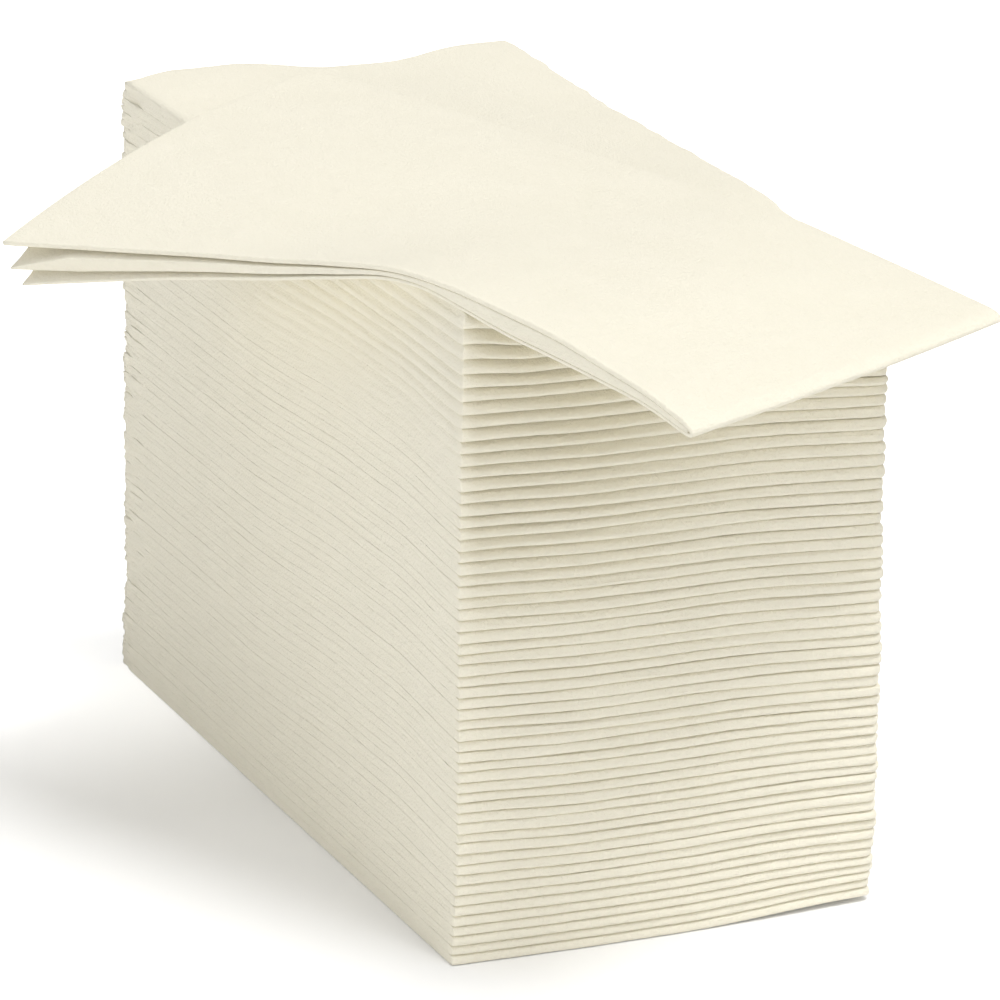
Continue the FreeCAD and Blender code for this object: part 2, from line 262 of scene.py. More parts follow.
@dataclass(frozen=True)
class FloorFinishAndPaintedLight:
    """A matt white floor that keeps the object's shadow, with painted light that grows towards the back
    and washes the shadow out there.
    """

    name: str = "studio_floor"
    albedo: float = 0.93
    lift: float = 0.06
    # painted light: camera-only emission that rises towards the back of the floor and fades the object's
    # shadow out there
    painted_back_light: float = 0.45
    painted_light_zone: Zone = (0.0, 110.0)

    def material(self) -> bpy.types.Material:
        """Build the floor's material.

        Returns:
            A node material whose emission, an even white lift plus painted light that grows towards the
            back, only the camera, reflections and clear things see.
        """
        made = bpy.data.materials.new(self.name)
        made.use_nodes = True
        graph = Graph(made.node_tree)
        nodes = made.node_tree.nodes
        nodes.remove(nodes["Principled BSDF"])
        matt = graph.node("ShaderNodeBsdfDiffuse")
        matt.inputs["Color"].default_value = (self.albedo, self.albedo, self.albedo, 1.0)
        lift_and_painted_light = graph.node("ShaderNodeEmission")
        path = graph.node("ShaderNodeLightPath")
        seen = graph.value(path.outputs["Is Camera Ray"])
        seen = seen.combine("MAXIMUM", graph.value(path.outputs["Is Glossy Ray"]))
        seen = seen.combine("MAXIMUM", graph.value(path.outputs["Is Transmission Ray"]))
        _, along, _ = graph.parts(graph.node("ShaderNodeTexCoord").outputs["Object"])
        # painted light mask: 0 near the object, 1 towards the back of the floor
        painted_light_mask = along.rises(*self.painted_light_zone)
        # the emission adds an even white lift everywhere plus the painted light towards the back
        graph.link((seen * (painted_light_mask * self.painted_back_light + self.lift)).socket, lift_and_painted_light.inputs["Strength"])
        both = graph.node("ShaderNodeAddShader")
        graph.link(matt.outputs[0], both.inputs[0])
        graph.link(lift_and_painted_light.outputs[0], both.inputs[1])
        graph.link(both.outputs[0], nodes["Material Output"].inputs["Surface"])
        return made


# A stacked napkin
class Side(Enum):
    """What a side of a stacked napkin shows, with its outline from the top edge to the bottom.

    SPINE is the folded end at -Y, LONG the left side, FAR the right side with its rounded
    folds, and OPEN the blunt end at +Y. Each outline is pairs of how far it stands out, in
    millimetres, and its share of the height.
    """

    SPINE = (
        (-2.3, 1.0), (-1.65, 0.98), (-1.15, 0.94), (-0.78, 0.885), (-0.52, 0.81), (-0.34, 0.71),
        (-0.2, 0.58), (-0.08, 0.42), (0.0, 0.25), (-0.03, 0.12), (-0.13, 0.045), (-0.38, 0.008),
        (-1.0, 0.0),
    )
    LONG = (
        (0.0, 1.0), (0.0, 0.96), (0.0, 0.88), (0.0, 0.75), (-0.01, 0.63), (-0.02, 0.55),
        (-0.03, 0.5), (-0.02, 0.45), (-0.01, 0.37), (0.0, 0.25), (0.0, 0.12), (0.0, 0.04),
        (0.0, 0.0),
    )
    FAR = (
        (-1.1, 1.0), (-0.7, 0.985), (-0.42, 0.94), (-0.22, 0.86), (-0.08, 0.75), (-0.02, 0.64),
        (0.0, 0.52), (-0.02, 0.4), (-0.08, 0.29), (-0.2, 0.18), (-0.4, 0.08), (-0.65, 0.02),
        (-1.0, 0.0),
    )
    OPEN = (
        (-1.2, 1.0), (-0.8, 0.985), (-0.63, 0.93), (-0.6, 0.8), (-0.65, 0.64), (-0.9, 0.56),
        (-2.2, 0.5), (-0.3, 0.44), (-0.04, 0.36), (0.0, 0.2), (-0.03, 0.07), (-0.2, 0.015),
        (-0.6, 0.0),
    )


@dataclass
class NapkinBlank:
    """A folded napkin before it is stacked: flat, of even thickness, with its rims shaped."""

    width: float = 103.0
    length: float = 213.8
    thickness: float = 3.0
    inset: float = 3.2
    corner: float = 0.7
    far_corner: float = 2.3
    across: int = 64
    along: int = 104
    turns: int = 4
    cap_step: int = 4
    corner_follows: float = 0.6
    least_corner: float = 0.15

    def ring(self, level: int) -> np.ndarray:
        """One closed line round the rim.

        Args:
            level: which point of the sides' outlines it goes through.

        Returns:
            Its points, anticlockwise from the corner of the spine at -X, with their height
            as a share of the thickness.
        """
        half_x, half_y = self.width / 2, self.length / 2
        xs = np.linspace(self.inset - half_x, half_x - self.inset, self.across + 1)
        ys = np.linspace(self.inset - half_y, half_y - self.inset, self.along + 1)
        spine, long, far, open_end = (
            side.value[level] for side in (Side.SPINE, Side.LONG, Side.FAR, Side.OPEN)
        )
        points = [(x, -half_y - spine[0], spine[1]) for x in xs]
        points += self.arc(1, -1, far, spine, -90)
        points += [(half_x + far[0], y, far[1]) for y in ys]
        points += self.arc(1, 1, far, open_end, 0)
        points += [(x, half_y + open_end[0], open_end[1]) for x in xs[::-1]]
        points += self.arc(-1, 1, long, open_end, 90)
        points += [(-half_x - long[0], y, long[1]) for y in ys[::-1]]
        points += self.arc(-1, -1, long, spine, 180)
        return np.array(points)

    def arc(
        self,
        x_sign: int,
        y_sign: int,
        long: tuple[float, float],
        end: tuple[float, float],
        start: float,
    ) -> list[tuple[float, float, float]]:
        """The inner points of a rounded corner between a long side and an end.

        Args:
            x_sign: which long side.
            y_sign: which end, -1 for the spine.
            long: the long side's offset and height share at this level.
            end: the end's offset and height share at this level.
            start: the angle where the corner starts, in degrees.

        Returns:
            The points, anticlockwise.
        """
        corner = self.far_corner if x_sign > 0 else self.corner
        radius = max(corner + self.corner_follows * min(long[0], end[0]), self.least_corner)
        middle_x = x_sign * (self.width / 2 + long[0] - radius)
        middle_y = y_sign * (self.length / 2 + end[0] - radius)
        points = []
        for turn in range(1, self.turns):
            share = turn / self.turns
            angle = math.radians(start + 90 * share)
            to_long = share if start in (-90, 90) else 1 - share
            height = end[1] + (long[1] - end[1]) * to_long
            x = middle_x + radius * math.cos(angle)
            y = middle_y + radius * math.sin(angle)
            points.append((x, y, height))
        return points

    def mesh(self, name: str) -> bpy.types.Mesh:
        """Build the blank as a closed mesh.

        Args:
            name: the mesh's name.

        Returns:
            The mesh, in metres.
        """
        half_x, half_y = self.width / 2, self.length / 2
        cells_x, cells_y = self.across // self.cap_step, self.along // self.cap_step
        xs = np.linspace(self.inset - half_x, half_x - self.inset, cells_x + 1)
        ys = np.linspace(self.inset - half_y, half_y - self.inset, cells_y + 1)
        rings = [self.ring(level) for level in range(len(Side.SPINE.value))]
        around = len(rings[0])
        columns, rows = cells_x + 1, cells_y + 1
        by_x = [(i + self.cap_step // 2) // self.cap_step for i in range(self.across + 1)]
        by_y = [(j + self.cap_step // 2) // self.cap_step for j in range(self.along + 1)]
        grid = np.array([(x, y) for y in ys for x in xs])
        top = np.column_stack([grid, np.ones(len(grid))])
        bottom = np.column_stack([grid, np.zeros(len(grid))])
        vertices = np.vstack([top, bottom, *rings])
        vertices[:, 2] *= self.thickness
        hold = [(i, 0) for i in by_x]
        hold += [(columns - 1, 0)] * (self.turns - 1)
        hold += [(columns - 1, j) for j in by_y]
        hold += [(columns - 1, rows - 1)] * (self.turns - 1)
        hold += [(i, rows - 1) for i in reversed(by_x)]
        hold += [(0, rows - 1)] * (self.turns - 1)
        hold += [(0, j) for j in reversed(by_y)]
        hold += [(0, 0)] * (self.turns - 1)
        inner = [j * columns + i for i, j in hold]
        faces: list[tuple[int, ...]] = []
        size = columns * rows
        for j in range(cells_y):
            for i in range(cells_x):
                corner = j * columns + i
                quad = (corner, corner + 1, corner + 1 + columns, corner + columns)
                faces.append(quad)
                faces.append(tuple(size + v for v in reversed(quad)))
        first = 2 * size
        last = first + (len(rings) - 1) * around
        for k in range(around):
            after = (k + 1) % around
            for level in range(len(rings) - 1):
                high = first + level * around
                low = high + around
                faces.append((high + k, low + k, low + after, high + after))
            if inner[k] == inner[after]:
                faces.append((first + k, first + after, inner[k]))
                faces.append((last + after, last + k, size + inner[k]))
            else:
                faces.append((first + k, first + after, inner[after], inner[k]))
                faces.append((last + after, last + k, size + inner[k], size + inner[after]))
        made = bpy.data.meshes.new(name)
        made.from_pydata((vertices * MM).tolist(), [], faces)
        made.polygons.foreach_set("use_smooth", [True] * len(made.polygons))
        made.update()
        return made


@dataclass(frozen=True)
class Spot:
    """A point of a flat napkin, as numbers in the tree.

    Attributes:
        x: its place across, from the middle.
        y: its place along, from the middle.
        share: its height in the napkin, from 0 to 1.
        level: its height in the pile, before the pile settles.
        side: 0 on the left side and 1 on the right.
        back: 0 at the spine and 1 at the open end.
        layer: the napkin's number.
    """

    x: Value
    y: Value
    share: Value
    level: Value
    side: Value
    back: Value
    layer: Value


@dataclass(frozen=True)
class Settling:
    """How the napkins of the stack stray, flare, rise and sag.

    Amounts and places are in millimetres. A zone is the two places between which something
    comes in or goes out, and one whose name ends in share goes by shares of the napkin.
    """

    top: float
    blank: NapkinBlank
    rim_scale: float = 120.0
    rim_steps: float = 3.7
    rough_left: float = 0.05
    rough_right: float = 3.0
    rough_tips: float = 3.2
    rough_ends: float = 0.55
    tips_share: Zone = (0.9, 1.0)
    tips_more: float = 0.8
    upper_from: float = 110.0
    foot_zone: Zone = (0.0, 26.0)
    foot_out: float = -1.1
    back_out: float = 1.2
    right_out: float = 0.5
    belly: float = 1.0
    belly_in: Zone = (0.0, 22.0)
    belly_gone: Zone = (50.0, 115.0)
    lean_zone: Zone = (0.0, 115.0)
    lean_right: float = 1.4
    lean_bow: float = -1.8
    lean_all: float = 0.9
    furrow: float = 1.6
    furrow_levels: Zone = (104.0, 138.0)
    furrow_back_share: Zone = (0.3, 0.55)
    furrow_height_share: Zone = (0.35, 1.0)
    furrow_side_share: Zone = (-1.0, 1.0)
    hollow: float = 2.1
    hollow_levels: Zone = (64.0, 112.0)
    hollow_height_share: Zone = (0.3, 1.0)
    hollow_in_share: Zone = (0.0, 0.05)
    hollow_gone_share: Zone = (0.1, 0.8)
    floor_zone: Zone = (0.0, 32.0)
    hump: float = 3.0
    hump_in: Zone = (0.0, 40.0)
    hump_gone: Zone = (60.0, 130.0)
    hump_upper_from: float = 115.0
    spine_zone: Zone = (0.0, 60.0)
    left_lift: float = 1.1
    left_zone: Zone = (0.0, 34.0)
    right_sag: float = -2.1
    right_zone: Zone = (62.0, 112.0)
    right_levels: Zone = (0.0, 15.0)
    curl: float = 1.1
    curl_zone: Zone = (56.0, 94.0)
    curl_levels: Zone = (16.0, 64.0)
    pressed: float = -1.9
    pressed_depth: float = 26.0
    pressed_across: Zone = (2.0, 16.0)
    pressed_along: Zone = (0.0, 26.0)
    give: float = -7.0
    give_depth: float = 34.0
    give_across: Zone = (42.0, 104.0)
    give_along: Zone = (0.0, 75.0)
    swell_depth: float = 45.0
    swell_along: Zone = (150.0, 213.0)
    swells: tuple[tuple[Zone, float], ...] = (
        ((0.0, 15.0), 2.0), ((28.0, 58.0), -3.0), ((70.0, 92.0), 2.6),
    )
    waves: float = 1.0
    wave_scale: float = 26.0
    wave_steps: float = 18.0
    uneven: float = 0.7
    uneven_scale: float = 24.0
    uneven_steps: float = 300.0
    uneven_along: Zone = (15.0, 70.0)
    uneven_across: Zone = (0.0, 22.0)
    uneven_less: float = 0.8
    crinkle: float = 0.26
    crinkle_scale: float = 260.0
    crinkle_steps: float = 150.0
    crinkle_levels: Zone = (0.0, 4.0)

    def roughness(self, graph: Graph, spot: Spot, position: bpy.types.NodeSocket) -> list[Value]:
        """How far the rims wander from napkin to napkin.

        Args:
            graph: the tree.
            spot: the point.
            position: the point as a vector.

        Returns:
            How far it stands out across and along.
        """
        upper = spot.level.rises(self.upper_from, self.top)
        tips = spot.back.eased(*self.tips_share) * spot.side.rest() * (upper * self.tips_more + 1.0)
        across = spot.side * spot.side * (self.rough_right * MM) + tips * (self.rough_tips * MM)
        wander = [
            graph.noise(position, self.rim_scale, 2.0, 0.55, spot.layer * self.rim_steps + start) - 0.5
            for start in (0.0, 90.0)
        ]
        return [wander[0] * (across + self.rough_left * MM), wander[1] * (self.rough_ends * MM)]

    def flare(self, spot: Spot) -> Value:
        """How far the pile's sides stand out across: the foot, the open end and the belly.

        Args:
            spot: the point.

        Returns:
            The distance, in metres.
        """
        left = spot.level.fades(*self.foot_zone) * (self.foot_out * MM) + spot.back * (self.back_out * MM)
        flare = left * spot.side.rest() + spot.side * (self.right_out * MM)
        belly = spot.level.rises(*self.belly_in) * spot.level.fades(*self.belly_gone)
        return flare + belly * spot.side * (self.belly * MM)

    def furrowed(self, spot: Spot) -> Value:
        """How far the left edges draw in under the crossing napkin.

        Args:
            spot: the point.

        Returns:
            The distance, in metres.
        """
        edge = (spot.x + self.blank.width / 2 * MM).fades(0.0, self.blank.inset)
        shaded = spot.level.rises(*self.furrow_levels) * spot.back.rest().eased(*self.furrow_back_share)
        rim = edge * spot.share.eased(*self.furrow_height_share)
        return rim * shaded * spot.side.eased(*self.furrow_side_share) * (self.furrow * MM)

    def lean(self, spot: Spot) -> Value:
        """How far the lower napkins lean and bow out at the spine.

        Args:
            spot: the point.

        Returns:
            The distance along, in metres.
        """
        bow = (spot.side * math.pi).sine() * (self.lean_bow * MM)
        out = spot.side * (self.lean_right * MM) + bow - self.lean_all * MM
        return spot.level.fades(*self.lean_zone) * out * spot.back.rest()

    def hollowed(self, spot: Spot) -> Value:
        """How far the folds draw in at the upper left of the spine face.

        Args:
            spot: the point.

        Returns:
            The distance along, in metres.
        """
        edge = (spot.y + self.blank.length / 2 * MM).fades(0.0, self.blank.inset)
        slack = spot.side.eased(*self.hollow_gone_share).rest() * spot.side.eased(*self.hollow_in_share)
        slack = slack * spot.level.rises(*self.hollow_levels)
        return edge * spot.share.eased(*self.hollow_height_share) * slack * (self.hollow * MM)

    def bulk(self, level: Value, from_left: Value, from_spine: Value) -> Value:
        """How far the pile rises and sags as a whole.

        Args:
            level: height in the pile.
            from_left: distance from the left side.
            from_spine: distance from the spine face.

        Returns:
            The rise, in metres.
        """
        held = level.rises(*self.floor_zone)
        hump = from_spine.rises(*self.hump_in) - from_spine.rises(*self.hump_gone)
        hump = hump * (self.hump * MM) * held * level.fades(self.hump_upper_from, self.top)
        left = from_left.fades(*self.left_zone) * (self.left_lift * MM)
        left = left * level.fades(self.upper_from, self.top) * held
        right = from_left.rises(*self.right_zone) * level.rises(*self.right_levels) * (self.right_sag * MM)
        curl = from_left.rises(*self.curl_zone) * level.fades(*self.curl_levels) * (self.curl * MM)
        return hump + (left + right + curl) * from_spine.fades(*self.spine_zone)

    def crown(self, level: Value, from_left: Value, from_spine: Value) -> Value:
        """How far the uppermost napkins sink at the spine and swell at the open end.

        Args:
            level: height in the pile.
            from_left: distance from the left side.
            from_spine: distance from the spine face.

        Returns:
            The rise, in metres.
        """
        pressed = from_left.rises(*self.pressed_across) * from_spine.fades(*self.pressed_along)
        pressed = pressed * level.rises(self.top - self.pressed_depth, self.top) * (self.pressed * MM)
        give = from_left.rises(*self.give_across) * from_spine.fades(*self.give_along)
        give = give * level.rises(self.top - self.give_depth, self.top) * (self.give * MM)
        first, *others = [from_left.rises(*zone) * (amount * MM) for zone, amount in self.swells]
        swell = sum(others, first) * from_spine.rises(*self.swell_along)
        return pressed + give + swell * level.rises(self.top - self.swell_depth, self.top)

    def texture(
        self, graph: Graph, place: list[Value], level: Value, from_left: Value, from_spine: Value
    ) -> Value:
        """How far the layers wave and crinkle.

        Args:
            graph: the tree.
            place: the settled place across and along.
            level: height in the pile.
            from_left: distance from the left side.
            from_spine: distance from the spine face.

        Returns:
            The rise, in metres.
        """
        spread = graph.vector(*place)
        waves = graph.noise(spread, self.wave_scale, 1.0, 0.5, level * self.wave_steps) - 0.5
        uneven = graph.noise(spread, self.uneven_scale, 1.0, 0.5, level * self.uneven_steps) - 0.5
        uneven = uneven * (from_spine.rises(*self.uneven_along) * -self.uneven_less + 1.0)
        across = from_left.rises(*self.uneven_across) * self.uneven_less + (1.0 - self.uneven_less)
        uneven = uneven * across
        crinkle = graph.noise(spread, self.crinkle_scale, 2.0, 0.6, level * self.crinkle_steps) - 0.5
        crinkle = crinkle * (self.crinkle * MM) * level.rises(*self.crinkle_levels)
        layers = waves * (self.waves * MM) + uneven * (self.uneven * MM)
        return layers * level.rises(*self.floor_zone) + crinkle


@dataclass
class Pile:
    """How the napkins of the stack press and lie one on another. Sizes are in millimetres."""

    count: int = 57
    pressed: float = 2.165
    settle: float = 0.62
    loft: float = 0.95
    loft_fade: float = 6.0
    ripple: float = 0.1
    rest_gap: float = 0.05
    spare: float = 0.012
    stray_x: float = 0.02
    stray_y: float = 0.14
    stray_turn: float = 0.015
    blank: NapkinBlank = field(default_factory=NapkinBlank)
    inputs: tuple[str, ...] = (
        "Underside", "Thickness", "Layer", "Shift across", "Shift along", "Turn",
    )

    def thickness(self, number: int) -> float:
        """Thickness of a stacked napkin.

        Args:
            number: the napkin, counted from 1 at the floor.

        Returns:
            Its thickness in millimetres.
        """
        share = (number - 1) / (self.count - 1)
        loft = self.loft * math.exp(-(self.count - number) / self.loft_fade)
        uneven = 0.6 * math.sin(2.4 * number) + 0.4 * math.sin(5.3 * number + 1.0)
        return self.pressed + self.settle * share + loft + self.ripple * uneven

    def underside(self, number: int) -> float:
        """Height of a napkin's underside in millimetres."""
        return sum(self.thickness(below) + self.rest_gap for below in range(1, number))

    def rule(self, paper: bpy.types.Material) -> bpy.types.NodeTree:
        """Build the tree that settles a blank into its place in the stack.

        Args:
            paper: the material that the napkin gets.

        Returns:
            A Geometry Nodes tree. Its inputs are in metres and radians.
        """
        tree = bpy.data.node_groups.new("settled_napkin", "GeometryNodeTree")
        face = tree.interface
        face.new_socket("Geometry", in_out="INPUT", socket_type="NodeSocketGeometry")
        for name in self.inputs:
            face.new_socket(name, in_out="INPUT", socket_type="NodeSocketFloat")
        face.new_socket("Geometry", in_out="OUTPUT", socket_type="NodeSocketGeometry")
        graph = Graph(tree)
        inputs = graph.node("NodeGroupInput")
        outputs = graph.node("NodeGroupOutput")
        given = {name: graph.value(inputs.outputs[name]) for name in self.inputs}
        position = graph.node("GeometryNodeInputPosition").outputs[0]
        x, y, z = graph.parts(position)
        share = z * (1 / (self.blank.thickness * MM))
        spot = Spot(
            x=x,
            y=y,
            share=share,
            level=given["Underside"] + share * given["Thickness"],
            side=x * (1 / (self.blank.width * MM)) + 0.5,
            back=y * (1 / (self.blank.length * MM)) + 0.5,
            layer=given["Layer"],
        )
        rules = Settling(top=self.underside(self.count + 1), blank=self.blank)
        rough_x, rough_y = rules.roughness(graph, spot, position)
        moved_x = x + given["Shift across"] + rough_x - y * given["Turn"]
        moved_x = moved_x + rules.flare(spot) + rules.furrowed(spot)
        moved_y = y + given["Shift along"] + rough_y + x * given["Turn"]
        moved_y = moved_y + rules.lean(spot) + rules.hollowed(spot)
        from_left = moved_x + self.blank.width / 2 * MM
        from_spine = moved_y + self.blank.length / 2 * MM
        risen = spot.level + rules.bulk(spot.level, from_left, from_spine)
        risen = risen + rules.crown(spot.level, from_left, from_spine)
        risen = risen + rules.texture(graph, [moved_x, moved_y], spot.level, from_left, from_spine)

        keep = graph.node("GeometryNodeStoreNamedAttribute", data_type="FLOAT_VECTOR", domain="POINT")
        keep.inputs["Name"].default_value = "flat"
        graph.link(graph.vector(x, y, spot.level), keep.inputs["Value"])
        graph.link(inputs.outputs["Geometry"], keep.inputs["Geometry"])
        settle = graph.node("GeometryNodeSetPosition")
        graph.link(keep.outputs["Geometry"], settle.inputs["Geometry"])
        graph.link(graph.vector(moved_x, moved_y, risen), settle.inputs["Position"])
        realize = graph.node("GeometryNodeRealizeInstances")
        graph.link(settle.outputs[0], realize.inputs[0])
        dress = graph.node("GeometryNodeSetMaterial")
        dress.inputs["Material"].default_value = paper
        graph.link(realize.outputs[0], dress.inputs["Geometry"])
        graph.link(dress.outputs[0], outputs.inputs[0])
        return tree

    def places(self, number: int) -> dict[str, float]:
        """The tree's inputs for one napkin.

        Args:
            number: the napkin, counted from 1 at the floor.

        Returns:
            The inputs by name, in metres and radians. The strays follow sines whose steps
            share no whole number, so that no two napkins lie alike.
        """
        return {
            "Underside": self.underside(number) * MM,
            "Thickness": (self.thickness(number) - self.spare) * MM,
            "Layer": float(number),
            "Shift across": self.stray_x * math.sin(1.7 * number + 0.4) * MM,
            "Shift along": self.stray_y * math.sin(2.9 * number + 1.3) * MM,
            "Turn": math.radians(self.stray_turn) * math.sin(4.1 * number + 2.2),
        }

    def build(self, paper: bpy.types.Material) -> list[bpy.types.Object]:
        """Settle and dress every napkin of the stack.

        Args:
            paper: the napkins' material.

        Returns:
            One piece for each napkin, from the floor up.
        """
        tree = self.rule(paper)
        names = {item.name: item.identifier for item in tree.interface.items_tree
                 if item.in_out == "INPUT"}
        inner = self.blank.mesh("napkin_blank")
        outer = replace(self.blank, cap_step=2).mesh("napkin_blank_fine")
        carrier = bpy.data.objects.new("napkin_blank", inner)
        bpy.context.scene.collection.objects.link(carrier)
        pieces = []
        for number in range(1, self.count + 1):
            carrier.data = outer if number in (1, self.count) else inner
            modifier = carrier.modifiers.new("settle", "NODES")
            modifier.node_group = tree
            for name, value in self.places(number).items():
                modifier[names[name]] = value
            carrier.update_tag()
            bpy.context.view_layer.update()
            settled = carrier.evaluated_get(bpy.context.evaluated_depsgraph_get())
            mesh = bpy.data.meshes.new_from_object(settled)
            carrier.modifiers.remove(modifier)
            mesh.name = "paper_napkin_%02d" % number
            piece = bpy.data.objects.new(mesh.name, mesh)
            bpy.context.scene.collection.objects.link(piece)
            hand_over(piece, "napkin_%02d" % number)
            pieces.append(piece)
        bpy.data.objects.remove(carrier)
        return pieces


def hand_over(piece: bpy.types.Object, node: str) -> None:
    """Hide a piece's CAD node, so that the piece shows in its place, and let it ride on the one body.

    Args:
        piece: the finished piece.
        node: the CAD node's name.
    """
    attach(piece, "root")
    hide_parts(node)
    LOG.info("%s stands for %s, %d faces", piece.name, node, len(piece.data.polygons))


# The crossing napkin
def through(stations: Stations, at: np.ndarray) -> np.ndarray:
    """A smooth curve through stations.

    Args:
        stations: pairs of place and height.
        at: the places where it is wanted.

    Returns:
        The heights there.
    """
    places = np.array([station[0] for station in stations])
    heights = np.array([station[1] for station in stations])
    slopes = np.gradient(heights, places)
    cell = np.clip(np.searchsorted(places, at, side="right") - 1, 0, len(places) - 2)
    gap = places[cell + 1] - places[cell]
    t = (at - places[cell]) / gap
    return (
        (2 * t**3 - 3 * t**2 + 1) * heights[cell]
        + (t**3 - 2 * t**2 + t) * gap * slopes[cell]
        + (3 * t**2 - 2 * t**3) * heights[cell + 1]
        + (t**3 - t**2) * gap * slopes[cell + 1]
    )


@dataclass
class Leaf:
    """A soft sheet with rounded rims, drawn from its middle surface, in millimetres."""

    middle: np.ndarray
    thickness: np.ndarray
    turns: int = 8
    rim: float = 0.45
    fullness: float = 0.7

    def shell(self) -> tuple[np.ndarray, list[tuple[int, ...]]]:
        """Close the sheet.

        Returns:
            Its points in millimetres, and its faces, which point outwards.
        """
        grid = self.middle
        rows, columns = grid.shape[:2]
        down = np.gradient(grid, axis=0)
        over = np.gradient(grid, axis=1)
        normal = np.cross(over, down)
        normal /= np.linalg.norm(normal, axis=2, keepdims=True)
        half = self.thickness[..., None] / 2
        high = grid + normal * half
        low = grid - normal * half
        ring = [(i, 0) for i in range(rows)]
        ring += [(rows - 1, j) for j in range(1, columns)]
        ring += [(i, columns - 1) for i in range(rows - 2, -1, -1)]
        ring += [(0, j) for j in range(columns - 2, 0, -1)]
        out = np.zeros_like(grid)
        out[0] -= down[0] / np.linalg.norm(down[0], axis=1, keepdims=True)
        out[-1] += down[-1] / np.linalg.norm(down[-1], axis=1, keepdims=True)
        out[:, 0] -= over[:, 0] / np.linalg.norm(over[:, 0], axis=1, keepdims=True)
        out[:, -1] += over[:, -1] / np.linalg.norm(over[:, -1], axis=1, keepdims=True)
        points = [high.reshape(-1, 3), low.reshape(-1, 3)]
        around = len(ring)
        for turn in range(1, self.turns):
            angle = math.pi * turn / self.turns
            rise = math.copysign(abs(math.cos(angle)) ** self.fullness, math.cos(angle))
            reach = math.sin(angle) ** self.fullness
            line = [
                grid[i, j]
                + out[i, j] * min(float(half[i, j, 0]), self.rim) * reach
                + normal[i, j] * half[i, j] * rise
                for i, j in ring
            ]
            points.append(np.array(line))
        size = rows * columns
        faces: list[tuple[int, ...]] = []
        for i in range(rows - 1):
            for j in range(columns - 1):
                corner = i * columns + j
                quad = (corner, corner + 1, corner + 1 + columns, corner + columns)
                faces.append(quad)
                faces.append(tuple(size + v for v in reversed(quad)))
        lines = [[i * columns + j for i, j in ring]]
        lines += [[2 * size + k * around + n for n in range(around)] for k in range(self.turns - 1)]
        lines.append([size + i * columns + j for i, j in ring])
        for above, below in zip(lines, lines[1:]):
            for n in range(around):
                after = (n + 1) % around
                faces.append((above[n], above[after], below[after], below[n]))
        return np.vstack(points), faces


